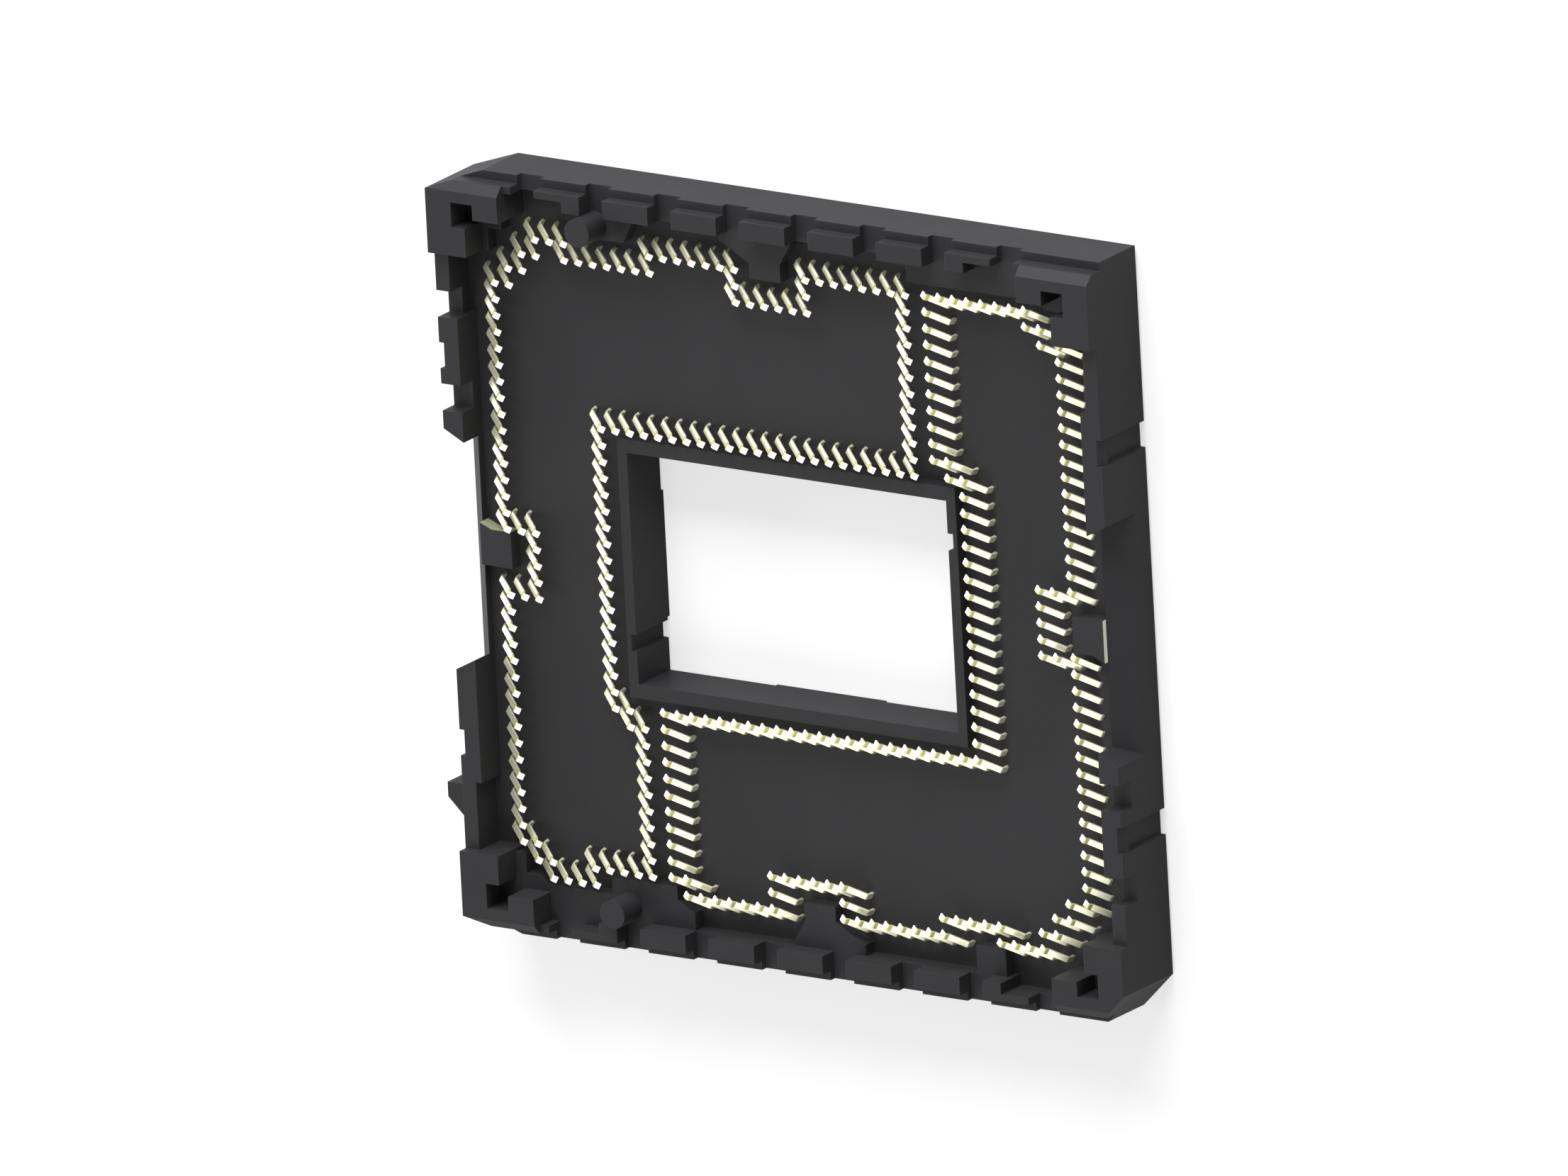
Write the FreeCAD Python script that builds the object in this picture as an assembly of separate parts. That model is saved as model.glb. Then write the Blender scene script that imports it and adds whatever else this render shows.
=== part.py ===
"""Surface-mount ic socket: a moulded housing with a window, holding two fields of bent spring contacts.

Frame: millimetres, +Z up.  The origin lies on the board plane under the centre of the window, +X points
to the right-hand side wall, and +Y to the toothed rim whose right end carries the plain seating ledge.
The housing is the same when turned half way round about Z, apart from its corners, ledges, pegs and lug.
"""
import FreeCAD
import Part
import math
import os

# Contact grid
CONTACT_PITCH = 0.9144
GRID_LINES = 40

# Heights, each above the one before: board, underside, contact floor, seating plane, walls, posts
STANDOFF_HEIGHT = 0.20
FLOOR_THICKNESS = 2.20
SEAT_STEP = 0.80
WALL_RISE = 1.10
POST_RISE = 0.60

# Housing outline
GRID_MARGIN = 2.962
LONG_CHAMFER_X = 2.90
LONG_CHAMFER_Y = 1.00
CORNER_CHAMFER = 1.98
CORNER_POCKET = 2.00

# Rim with teeth along the two Y sides
RIM_DEPTH = 1.50
LIP_DEPTH = 0.90
RIM_LEDGE_DROP = 0.70
RIM_LEDGE_DEPTH = 0.49
POST_SLOPE_DEPTH = 0.50
POST_SLOPE_HEIGHT = 0.47
TOOTH_PITCH = 4.40
TOOTH_WIDTH = 2.90
FULL_TEETH_EACH_WAY = 2
END_TOOTH_SHOULDER = 1.15
STUB_LENGTH = 0.50

# Side walls along the two X sides
WALL_THICKNESS = 1.25
THIN_WALL_THICKNESS = 0.89
OPEN_HALF = 6.05
OPEN_END_SLANT = 0.65
SILL_INNER_DROP = 0.26
SILL_OUTER_DROP = 1.60
END_BLOCK_LENGTH = 1.65
GAP_WIDTH = 1.50
THICK_LENGTH = 3.70
SLOT_OFFSET = 1.57
SLOT_WIDTH = 1.45
SLOT_DEPTH = 0.30
SLOT_SLOPE_HEIGHT = 0.60

# Corner posts
POST_END_ROW = 17.5
POST_END_GAP = 0.648
POST_ARM = 2.45
POST_HOLE = 1.38
POST_HOLE_INSET = 1.61

# Round pegs beside the rims
PEG_RADIUS = 0.78
PEG_BEYOND_GRID = 1.119
PEG_COLUMN = -12.653

# Window and its raised frame
FRAME_GAP_X = 0.58
FRAME_GAP_Y = 0.552
FRAME_WALL_X = 0.60
FRAME_WALL_Y = 0.77
WINDOW_SIDE_COLUMN = 12.5
WINDOW_END_ROW = 8.5
GROOVE_OFFSET = 4.16
GROOVE_WIDTH = 0.95
GROOVE_DEPTH = 0.33

# Lug on the left-hand outer face
LUG_REACH = 1.72
LUG_TOP = 13.49
LUG_TIP = 0.82
LUG_FOOT = 2.51

# Standoff pads on the underside
PAD_LENGTH = 7.00
PAD_WIDTH = 1.40
CORNER_PAD = 3.20
CORNER_PAD_CUT = 1.00
CORNER_PAD_INSET = 0.70

# Spring contacts: a bent strip that stands in a plane turned away from X
SKEW_DEGREES = 30.0
CONTACT_GAP = 0.09
STRIP_THICKNESS = 0.10
APEX_SHIFT = 0.285
APEX_REACH = 0.36
TIP_HEIGHT = 1.11
APEX_RISE = 0.155
APEX_BACK = 0.33
KNEE_BACK = 0.51
KNEE_DROP = 0.07
ROOT_BACK = 1.52
ROOT_DROP = 0.66
LEG_SLANT = 0.09
LEG_THICKNESS = 0.20
SHORT_COLUMN_DROP = 0.34
ROWS_PER_GROUP = 4

# Worked out from the sizes above
GRID_HALF = (GRID_LINES - 1) / 2 * CONTACT_PITCH
HALF = GRID_LINES / 2 * CONTACT_PITCH + GRID_MARGIN
FLOOR_LEVEL = STANDOFF_HEIGHT + FLOOR_THICKNESS
SEAT_LEVEL = FLOOR_LEVEL + SEAT_STEP
WALL_LEVEL = SEAT_LEVEL + WALL_RISE
POST_LEVEL = WALL_LEVEL + POST_RISE
POST_END = POST_END_ROW * CONTACT_PITCH + POST_END_GAP
GAP_START = OPEN_HALF + END_BLOCK_LENGTH
GAP_END = GAP_START + GAP_WIDTH
THIN_WALL_START = GAP_END + THICK_LENGTH
FRAME_X = WINDOW_SIDE_COLUMN * CONTACT_PITCH - FRAME_GAP_X
FRAME_Y = WINDOW_END_ROW * CONTACT_PITCH - FRAME_GAP_Y
WINDOW_X = FRAME_X - FRAME_WALL_X
WINDOW_Y = FRAME_Y - FRAME_WALL_Y
END_TOOTH = (FULL_TEETH_EACH_WAY + 1) * TOOTH_PITCH
CLEAR_OF_HOUSING = HALF + LUG_REACH
CLEAR_ABOVE = POST_LEVEL + POST_RISE
STRIP_WIDTH = CONTACT_PITCH * math.sin(math.radians(SKEW_DEGREES)) - CONTACT_GAP


def inset(distance):
    """Distance from the centre of a line that lies this far inside the outer face."""
    return HALF - distance


def beyond(distance):
    """Distance from the centre of a line that lies this far outside the outermost contact row."""
    return GRID_HALF + distance


def columns(count):
    """Distance from the centre of a line that lies this many contact pitches out."""
    return count * CONTACT_PITCH


def prism(points, low, high):
    """Upright solid over a closed plan outline."""
    corners = [FreeCAD.Vector(x, y, low) for x, y in points]
    face = Part.Face(Part.makePolygon(corners + corners[:1]))
    return face.extrude(FreeCAD.Vector(0, 0, high - low))


def block(x0, x1, y0, y1, low, high):
    """Upright box between two plan corners."""
    return prism([(x0, y0), (x1, y0), (x1, y1), (x0, y1)], low, high)


def half_turn(shape):
    """The same shape turned half way round about Z."""
    turned = shape.copy()
    turned.rotate(FreeCAD.Vector(0, 0, 0), FreeCAD.Vector(0, 0, 1), 180)
    return turned


def mirrored(points, sign_x, sign_y):
    """Plan outline with its X and Y signs changed."""
    return [(sign_x * x, sign_y * y) for x, y in points]


def fused(shapes):
    """One solid from shapes that touch or overlap."""
    return shapes[0].multiFuse(shapes[1:])


def outline():
    """Plan of the housing: a square with three of its corners cut."""
    x = HALF - LONG_CHAMFER_X
    y = HALF - LONG_CHAMFER_Y
    return [
        (-HALF, -y),
        (-x, -HALF),
        (inset(CORNER_CHAMFER), -HALF),
        (HALF, -inset(CORNER_CHAMFER)),
        (HALF, HALF),
        (-x, HALF),
        (-HALF, y),
    ]


def corner_pocket(sign_x, sign_y):
    """Stepped corner of the contact recess, cut back for the outermost contacts."""
    points = [
        (beyond(-CORNER_POCKET), inset(LIP_DEPTH)),
        (beyond(-CORNER_POCKET), beyond(-CORNER_POCKET)),
        (inset(THIN_WALL_THICKNESS), beyond(-CORNER_POCKET)),
        (inset(THIN_WALL_THICKNESS), POST_END),
        (beyond(0.669), POST_END),
        (beyond(0.669), beyond(0.069)),
        (beyond(-0.231), beyond(0.069)),
        (beyond(-0.231), inset(POST_ARM)),
        (POST_END, inset(POST_ARM)),
        (POST_END, inset(LIP_DEPTH)),
    ]
    return prism(mirrored(points, sign_x, sign_y), FLOOR_LEVEL, SEAT_LEVEL)


def lip_pocket(sign_x, sign_y):
    """Shallow run of the recess behind the end tooth, out to the lip."""
    near = END_TOOTH - TOOTH_WIDTH / 2 + END_TOOTH_SHOULDER
    points = [
        (near, inset(LIP_DEPTH)),
        (near, beyond(-CORNER_POCKET)),
        (POST_END, beyond(-CORNER_POCKET)),
        (POST_END, inset(LIP_DEPTH)),
    ]
    return prism(mirrored(points, sign_x, sign_y), FLOOR_LEVEL, SEAT_LEVEL)


def wide_ledge():
    """Seating ledge of the lower left corner, which threads between the contacts."""
    points = [
        (-HALF, -POST_END),
        (-inset(POST_ARM), -POST_END),
        (-inset(POST_ARM), -beyond(-0.981)),
        (-beyond(0.319), -beyond(-0.981)),
        (-beyond(0.319), -beyond(0.119)),
        (-beyond(-0.531), -beyond(0.119)),
        (-beyond(-1.031), -beyond(0.569)),
        (-columns(13.845), -beyond(0.569)),
        (-columns(13.845), -beyond(-0.381)),
        (-columns(9.252), -beyond(-0.381)),
        (-columns(9.252), -beyond(0.369)),
        (-columns(8.093), -beyond(0.969)),
        (-columns(8.093), -HALF),
        (-HALF, -HALF),
    ]
    return prism(points, FLOOR_LEVEL, SEAT_LEVEL)


def plain_ledge():
    """Seating ledge of the upper right corner."""
    points = [
        (columns(9.24), HALF),
        (columns(9.24), beyond(0.549)),
        (beyond(-1.031), beyond(0.569)),
        (beyond(-0.531), beyond(0.119)),
        (beyond(0.319), beyond(0.119)),
        (beyond(0.319), beyond(-0.981)),
        (inset(POST_ARM), beyond(-0.981)),
        (inset(POST_ARM), POST_END),
        (HALF, POST_END),
        (HALF, HALF),
    ]
    return prism(points, FLOOR_LEVEL, SEAT_LEVEL)


def peg_seat():
    """Block under the upper round peg."""
    points = [
        (-columns(13.758), HALF),
        (-columns(13.758), beyond(0.369)),
        (-columns(10.663), beyond(0.369)),
        (-columns(10.061), beyond(1.469)),
        (-columns(10.061), HALF),
    ]
    return prism(points, FLOOR_LEVEL, SEAT_LEVEL)


def lower_right_block():
    """Block of the seating plane beside the lower rim."""
    return block(columns(11.70), columns(13.758), -HALF, -beyond(0.369), FLOOR_LEVEL, SEAT_LEVEL)


def rim_key():
    """Key that reaches in from the lower rim between the two contact fields."""
    points = [
        (-columns(0.317), -beyond(-0.561)),
        (columns(1.859), -beyond(-0.561)),
        (columns(1.859), -beyond(0.279)),
        (columns(3.860), -beyond(1.319)),
        (columns(3.860), -HALF),
        (-columns(1.094), -HALF),
        (-columns(1.094), -beyond(1.619)),
        (-columns(0.317), -beyond(0.469)),
    ]
    return prism(points, FLOOR_LEVEL, SEAT_LEVEL)


def side_key():
    """Key that reaches in from the left-hand side wall, flared on one side."""
    points = [
        (-inset(WALL_THICKNESS), -columns(1.115)),
        (-beyond(0.199), -columns(1.115)),
        (-beyond(0.199), columns(1.115)),
        (-beyond(1.419), columns(1.115)),
        (-inset(WALL_THICKNESS), columns(1.450)),
    ]
    return prism(points, FLOOR_LEVEL, SEAT_LEVEL)


def recess():
    """The sunk contact floor, as the volume to take out of the seating slab."""
    side = inset(WALL_THICKNESS)
    thin_side = inset(THIN_WALL_THICKNESS)
    rim = inset(RIM_DEPTH)
    near = beyond(-CORNER_POCKET)
    side_pocket = block(-thin_side, -near, THIN_WALL_START, POST_END, FLOOR_LEVEL, SEAT_LEVEL)
    low_pocket = block(-thin_side, -near, -POST_END, -THIN_WALL_START, FLOOR_LEVEL, SEAT_LEVEL)
    sunk = fused([
        block(-side, side, -rim, rim, FLOOR_LEVEL, SEAT_LEVEL),
        side_pocket,
        low_pocket,
        half_turn(side_pocket),
        half_turn(low_pocket),
        lip_pocket(-1, 1),
        lip_pocket(1, -1),
    ])
    corner = block(-HALF, -POST_END, POST_END, HALF, FLOOR_LEVEL, SEAT_LEVEL)
    sunk = sunk.cut([corner, half_turn(corner)])
    sunk = sunk.fuse([corner_pocket(-1, 1), corner_pocket(1, -1)])
    raised = [
        wide_ledge(),
        plain_ledge(),
        peg_seat(),
        lower_right_block(),
        rim_key(),
        half_turn(rim_key()),
        side_key(),
        half_turn(side_key()),
        block(-FRAME_X, FRAME_X, -FRAME_Y, FRAME_Y, FLOOR_LEVEL, SEAT_LEVEL),
    ]
    return sunk.cut(raised)


def rim_teeth():
    """Teeth of the lower rim: full ones about the middle, a shouldered one and a stub at each end."""
    outer = -HALF
    shoulder = END_TOOTH - TOOTH_WIDTH / 2
    end = END_TOOTH + TOOTH_WIDTH / 2
    teeth = []
    for place in range(-FULL_TEETH_EACH_WAY, FULL_TEETH_EACH_WAY + 1):
        middle = place * TOOTH_PITCH
        x0 = middle - TOOTH_WIDTH / 2
        teeth.append(block(x0, x0 + TOOTH_WIDTH, outer, -inset(RIM_DEPTH), SEAT_LEVEL, WALL_LEVEL))
    for sign in (-1, 1):
        shouldered = [
            (shoulder, outer),
            (end, outer),
            (end, -inset(LIP_DEPTH)),
            (shoulder + END_TOOTH_SHOULDER, -inset(LIP_DEPTH)),
            (shoulder + END_TOOTH_SHOULDER, -inset(RIM_DEPTH)),
            (shoulder, -inset(RIM_DEPTH)),
        ]
        stub = [
            (POST_END - STUB_LENGTH, outer),
            (POST_END, outer),
            (POST_END, -inset(LIP_DEPTH)),
            (POST_END - STUB_LENGTH, -inset(LIP_DEPTH)),
        ]
        teeth.append(prism(mirrored(shouldered, sign, 1), SEAT_LEVEL, WALL_LEVEL))
        teeth.append(prism(mirrored(stub, sign, 1), SEAT_LEVEL, WALL_LEVEL))
    return teeth


def side_wall():
    """Left-hand side wall in its separate lengths, with the open stretch left out in the middle."""
    outer = -HALF
    thick = -inset(WALL_THICKNESS)
    thin = -inset(THIN_WALL_THICKNESS)
    reach = POST_END
    upper = [
        (outer, OPEN_HALF + OPEN_END_SLANT),
        (thick, OPEN_HALF),
        (thick, GAP_START),
        (outer, GAP_START),
    ]
    lower = [
        (outer, -OPEN_HALF - OPEN_END_SLANT),
        (outer, -THIN_WALL_START),
        (thick, -THIN_WALL_START),
        (thick, -OPEN_HALF),
    ]
    return [
        prism(upper, SEAT_LEVEL, WALL_LEVEL),
        prism(lower, SEAT_LEVEL, WALL_LEVEL),
        block(outer, thick, GAP_END, THIN_WALL_START, SEAT_LEVEL, WALL_LEVEL),
        block(outer, thin, THIN_WALL_START + GAP_WIDTH, reach, SEAT_LEVEL, WALL_LEVEL),
        block(outer, thin, -reach, -THIN_WALL_START, SEAT_LEVEL, WALL_LEVEL),
    ]


def side_sill():
    """Volume above the sloped sill in the open stretch of the left-hand side wall."""
    plan = [
        (-inset(WALL_THICKNESS), -OPEN_HALF),
        (-inset(WALL_THICKNESS), OPEN_HALF),
        (-HALF, OPEN_HALF + OPEN_END_SLANT),
        (-HALF, -OPEN_HALF - OPEN_END_SLANT),
    ]
    section = [
        FreeCAD.Vector(-inset(WALL_THICKNESS), -HALF, SEAT_LEVEL - SILL_INNER_DROP),
        FreeCAD.Vector(-HALF, -HALF, SEAT_LEVEL - SILL_OUTER_DROP),
        FreeCAD.Vector(-HALF, -HALF, WALL_LEVEL),
        FreeCAD.Vector(-inset(WALL_THICKNESS), -HALF, WALL_LEVEL),
    ]
    slope = Part.Face(Part.makePolygon(section + section[:1])).extrude(FreeCAD.Vector(0, 2 * HALF, 0))
    return prism(plan, STANDOFF_HEIGHT, WALL_LEVEL).common(slope)


def corner_post(sign_x, sign_y):
    """Corner post: an L in plan with a square notch open to the inner corner."""
    hole = POST_HOLE_INSET + POST_HOLE
    points = [
        (POST_END, inset(POST_ARM)),
        (inset(hole), inset(POST_ARM)),
        (inset(hole), inset(POST_HOLE_INSET)),
        (inset(POST_HOLE_INSET), inset(POST_HOLE_INSET)),
        (inset(POST_HOLE_INSET), inset(hole)),
        (inset(POST_ARM), inset(hole)),
        (inset(POST_ARM), POST_END),
        (HALF, POST_END),
        (HALF, HALF),
        (POST_END, HALF),
    ]
    return prism(mirrored(points, sign_x, sign_y), SEAT_LEVEL, POST_LEVEL)


def peg(sign_y):
    """Round peg that stands on the seating plane."""
    foot = FreeCAD.Vector(columns(PEG_COLUMN), sign_y * beyond(PEG_BEYOND_GRID), SEAT_LEVEL)
    return Part.makeCylinder(PEG_RADIUS, POST_LEVEL - SEAT_LEVEL, foot)


def rim_ledge():
    """Volume above the outer ledge of the lower rim and outside the slope of its posts."""
    ledge = WALL_LEVEL - RIM_LEDGE_DROP
    wall = inset(RIM_LEDGE_DEPTH)
    head = inset(RIM_LEDGE_DEPTH + POST_SLOPE_DEPTH)
    profile = [
        (-CLEAR_OF_HOUSING, ledge),
        (-wall, ledge),
        (-wall, POST_LEVEL - POST_SLOPE_HEIGHT),
        (-head, POST_LEVEL),
        (-head, CLEAR_ABOVE),
        (-CLEAR_OF_HOUSING, CLEAR_ABOVE),
    ]
    section = [FreeCAD.Vector(-CLEAR_OF_HOUSING, y, z) for y, z in profile]
    face = Part.Face(Part.makePolygon(section + section[:1]))
    return face.extrude(FreeCAD.Vector(2 * CLEAR_OF_HOUSING, 0, 0))


def outer_slot(centre):
    """Upright slot in the left-hand outer face, with a slope above it."""
    bottom = inset(SLOT_DEPTH)
    shoulder = WALL_LEVEL - SLOT_SLOPE_HEIGHT
    profile = [
        (-bottom, 0),
        (-bottom, shoulder),
        (-HALF, shoulder),
        (-bottom, WALL_LEVEL),
        (-CLEAR_OF_HOUSING, WALL_LEVEL),
        (-CLEAR_OF_HOUSING, 0),
    ]
    section = [FreeCAD.Vector(x, centre - SLOT_WIDTH / 2, z) for x, z in profile]
    return Part.Face(Part.makePolygon(section + section[:1])).extrude(FreeCAD.Vector(0, SLOT_WIDTH, 0))


def window_cut():
    """The through window with its two upright grooves."""
    groove = block(
        -WINDOW_X - GROOVE_DEPTH,
        -WINDOW_X,
        -GROOVE_OFFSET - GROOVE_WIDTH / 2,
        -GROOVE_OFFSET + GROOVE_WIDTH / 2,
        0,
        SEAT_LEVEL,
    )
    opening = block(-WINDOW_X, WINDOW_X, -WINDOW_Y, WINDOW_Y, 0, SEAT_LEVEL)
    return fused([opening, groove, half_turn(groove)])


def lug():
    """Wedge-shaped lug on the left-hand outer face."""
    points = [
        (-HALF, -LUG_TOP),
        (-HALF - LUG_REACH, -LUG_TOP),
        (-HALF - LUG_REACH, -LUG_TOP - LUG_TIP),
        (-HALF, -LUG_TOP - LUG_FOOT),
    ]
    return prism(points, STANDOFF_HEIGHT, SEAT_LEVEL)


def standoffs():
    """Low pads that the housing stands on: four at the window and four at the corners."""
    pads = []
    half_length = PAD_LENGTH / 2
    for sign in (-1, 1):
        near, far = sorted((sign * WINDOW_X, sign * (WINDOW_X + PAD_WIDTH)))
        pads.append(block(near, far, -half_length, half_length, 0, STANDOFF_HEIGHT))
        near, far = sorted((sign * WINDOW_Y, sign * (WINDOW_Y + PAD_WIDTH)))
        pads.append(block(-half_length, half_length, near, far, 0, STANDOFF_HEIGHT))
    edge = inset(CORNER_PAD_INSET)
    back = edge - CORNER_PAD
    cut = edge - CORNER_PAD_CUT
    corner = [(back, back), (edge, back), (edge, cut), (cut, edge), (back, edge)]
    for sign_x in (-1, 1):
        for sign_y in (-1, 1):
            pads.append(prism(mirrored(corner, sign_x, sign_y), 0, STANDOFF_HEIGHT))
    return pads


def housing():
    """The one-piece moulded housing."""
    slab = prism(outline(), STANDOFF_HEIGHT, SEAT_LEVEL).cut(recess())
    upper = rim_teeth() + [half_turn(tooth) for tooth in rim_teeth()]
    walls = side_wall()
    upper += walls + [half_turn(wall) for wall in walls]
    upper += [corner_post(sx, sy) for sx in (-1, 1) for sy in (-1, 1)]
    crown = upper[0].multiFuse(upper[1:]).common(prism(outline(), SEAT_LEVEL, POST_LEVEL))
    body = slab.multiFuse([crown, peg(1), peg(-1), lug()] + standoffs())
    tools = [window_cut(), rim_ledge(), half_turn(rim_ledge()), side_sill(), half_turn(side_sill())]
    for centre in (-GAP_END - SLOT_OFFSET, GAP_END + SLOT_OFFSET):
        tools += [outer_slot(centre), half_turn(outer_slot(centre))]
    return body.cut(tools).removeSplitter()


def contact(drop):
    """One bent spring contact of the left field, its apex over the origin of the plan."""
    tip = APEX_REACH
    level = FLOOR_LEVEL + TIP_HEIGHT - drop
    turn = math.radians(SKEW_DEGREES)
    lean = math.atan2(ROOT_DROP - KNEE_DROP, ROOT_BACK - KNEE_BACK)
    heel = tip - ROOT_BACK - LEG_SLANT
    shin = heel + LEG_THICKNESS
    crook = (LEG_THICKNESS - LEG_SLANT) * math.tan(lean) - STRIP_THICKNESS / math.cos(lean)
    profile = [
        (tip, level),
        (tip - APEX_BACK, level + APEX_RISE),
        (tip - KNEE_BACK, level - KNEE_DROP),
        (tip - ROOT_BACK, level - ROOT_DROP),
        (heel, FLOOR_LEVEL),
        (shin, FLOOR_LEVEL),
        (shin, level - ROOT_DROP + crook),
        (tip - (APEX_BACK + KNEE_BACK) / 2 + STRIP_THICKNESS / 2, level - STRIP_THICKNESS / 2),
        (tip - STRIP_THICKNESS / 2, level - STRIP_THICKNESS),
    ]
    along = FreeCAD.Vector(math.cos(turn), -math.sin(turn), 0)
    across = FreeCAD.Vector(math.sin(turn), math.cos(turn), 0)
    start = across * (-STRIP_WIDTH / 2)
    corners = [start + along * s + FreeCAD.Vector(0, 0, z) for s, z in profile]
    return Part.Face(Part.makePolygon(corners + corners[:1])).extrude(across * STRIP_WIDTH)


def left_field():
    """Filled columns of the left field: (first row, last row, [(first column, last column), ...])."""
    return [
        (0, 0, [(0, 2), (8, 14), (19, 26)]),
        (1, 1, [(-1, 14), (19, 26)]),
        (2, 2, [(-2, 26)]),
        (3, 11, [(-3, 26)]),
        (12, 18, [(-3, 4)]),
        (19, 21, [(-1, 4)]),
        (22, 27, [(-3, 4)]),
        (28, 28, [(-3, 5)]),
        (29, 37, [(-3, 6)]),
        (38, 38, [(-2, 6)]),
        (39, 39, [(-1, 2)]),
    ]


def right_field():
    """Filled columns of the right field, in the same form."""
    return [
        (0, 0, [(27, 34)]),
        (1, 1, [(27, 35)]),
        (2, 10, [(27, 36)]),
        (11, 11, [(28, 36)]),
        (12, 17, [(29, 36)]),
        (18, 20, [(29, 34)]),
        (21, 27, [(29, 36)]),
        (28, 36, [(7, 36)]),
        (37, 37, [(7, 35)]),
        (38, 38, [(7, 14), (19, 34)]),
        (39, 39, [(8, 14), (19, 26), (30, 33)]),
    ]


def filled_places(field):
    """Every (column, row) of a contact field."""
    places = set()
    for first_row, last_row, spans in field:
        for row in range(first_row, last_row + 1):
            for first, last in spans:
                places.update((column, row) for column in range(first, last + 1))
    return places


def outline_places(field):
    """The places of a field that have an empty place beside them."""
    places = filled_places(field)
    steps = [(dx, dy) for dx in (-1, 0, 1) for dy in (-1, 0, 1) if dx or dy]
    return sorted(
        (column, row)
        for column, row in places
        if any((column + dx, row + dy) not in places for dx, dy in steps)
    )


def contacts(field, side):
    """Contacts of one field as {first row of the group: [solid, ...]}; side is -1 on the left."""
    centre_column = 16.5
    short_column = 36
    full = contact(0)
    short = contact(SHORT_COLUMN_DROP)
    if side > 0:
        full = half_turn(full)
        short = half_turn(short)
    groups = {}
    for column, row in outline_places(field):
        solid = (short if column == short_column else full).copy()
        x = columns(column - centre_column) + side * APEX_SHIFT
        y = columns((GRID_LINES - 1) / 2 - row)
        solid.translate(FreeCAD.Vector(x, y, 0))
        groups.setdefault(row // ROWS_PER_GROUP * ROWS_PER_GROUP, []).append(solid)
    return groups


def save(shape, node):
    """Write one piece under its node name."""
    shape.exportStep("parts/" + node + ".step")


def main():
    os.makedirs("parts", exist_ok=True)
    save(housing(), "housing")
    for side, name, field in ((-1, "left", left_field()), (1, "right", right_field())):
        for first_row, solids in contacts(field, side).items():
            node = "contacts_{}_rows_{:02d}_{:02d}".format(name, first_row, first_row + ROWS_PER_GROUP - 1)
            save(Part.makeCompound(solids), node)


main()
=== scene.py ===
import math

import bmesh
import bpy
from mathutils import Matrix, Vector


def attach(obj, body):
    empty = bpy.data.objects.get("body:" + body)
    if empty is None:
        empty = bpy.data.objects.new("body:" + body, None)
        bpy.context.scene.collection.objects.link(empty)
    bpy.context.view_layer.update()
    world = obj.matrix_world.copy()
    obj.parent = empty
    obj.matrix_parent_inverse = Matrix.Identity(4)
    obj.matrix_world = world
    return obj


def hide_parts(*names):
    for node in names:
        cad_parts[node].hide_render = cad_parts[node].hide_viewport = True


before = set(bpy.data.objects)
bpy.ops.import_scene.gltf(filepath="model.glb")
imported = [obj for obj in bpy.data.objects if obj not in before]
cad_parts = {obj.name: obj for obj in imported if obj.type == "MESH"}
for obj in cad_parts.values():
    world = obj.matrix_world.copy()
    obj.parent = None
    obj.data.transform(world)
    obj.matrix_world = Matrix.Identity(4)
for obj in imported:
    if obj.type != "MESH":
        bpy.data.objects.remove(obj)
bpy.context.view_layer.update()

bl_info = {
    "name": "IC Socket Looks",
    "version": (1, 0, 0),
    "blender": (4, 5, 0),
    "location": "3D View > Sidebar > IC Socket",
    "description": "Finishes a moulded ic socket: spring contacts, plastic, metals and studio stage",
    "category": "Object",
}

MM = 0.001
BODY = "root"
HOUSING = "housing"
CONTACT_PREFIX = "contacts_"
STRIP_MAP = "strip"
WHITE = (1.0, 1.0, 1.0, 1.0)

# Finishes of a contact, and the bends where they meet: the ridge of the pad and the knee behind it
STRIP, PAD, BEND = range(3)
RIDGE, KNEE = 1, 2
# Steps of the arcs at the ridge, the knee and the top of the leg
ARC_STEPS = (6, 4, 4)
# Faces of the strip's section that share its width in the UV map
FACES_ACROSS = 4
# Share of the edge break that is left round the end of the tip
TIP_BREAK = 0.5
SMOOTH_ANGLE = math.radians(32)
WELD_DISTANCE = 1e-6

# Widths of the features in each pattern
FLOW_MARK = 4.0 * MM
PLATING_CLOUD = 0.9 * MM
FACING_CLOUD = 0.6 * MM
SOLDER_CRYSTAL = 0.12 * MM
PAPER_FIBRE = 0.5 * MM
# Distance between rolling lines, in millimetres as the strip's UV map has them
ROLLING_LINE = 0.05
# Nearly all values of a noise pattern lie between these
NOISE_LOW, NOISE_HIGH = 0.3, 0.7

# Facings of the side keys in millimetres: lines in plan along the keys' faces, and heights
LEFT_FACING = ((-18.03, 1.0196), (-19.25, 1.0196), (-20.0, 1.326))
LEFT_FACING_FOOT = 2.40
RIGHT_FACING = ((20.0, -1.326), (20.0, 1.0196))
RIGHT_FACING_FOOT = 2.94
FACING_TOP = 3.20
FACING_PROUD = 0.006
FACING_LET_IN = 0.02
FACING_BEVEL = 0.004
FACING_RISE = 0.001

# Solder in millimetres: radius and height up a drop, and where the corner pads take its place
SOLDER_PROFILE = ((0.19, 0.0), (0.245, 0.03), (0.28, 0.08), (0.28, 0.13), (0.25, 0.18), (0.22, 0.205))
SOLDER_SIDES = 12
CORNER_PAD_START = 17.0

# Soft boxes in metres: name, direction from the object, distance, width, height
SOFT_BOXES = (
    ("key", (0.05, 0.93, 0.36), 0.36, 0.36, 0.26),
    ("fill", (0.13, -0.68, 0.71), 0.40, 0.34, 0.30),
    ("side", (-0.98, -0.04, 0.19), 0.40, 0.36, 0.16),
)

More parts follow.
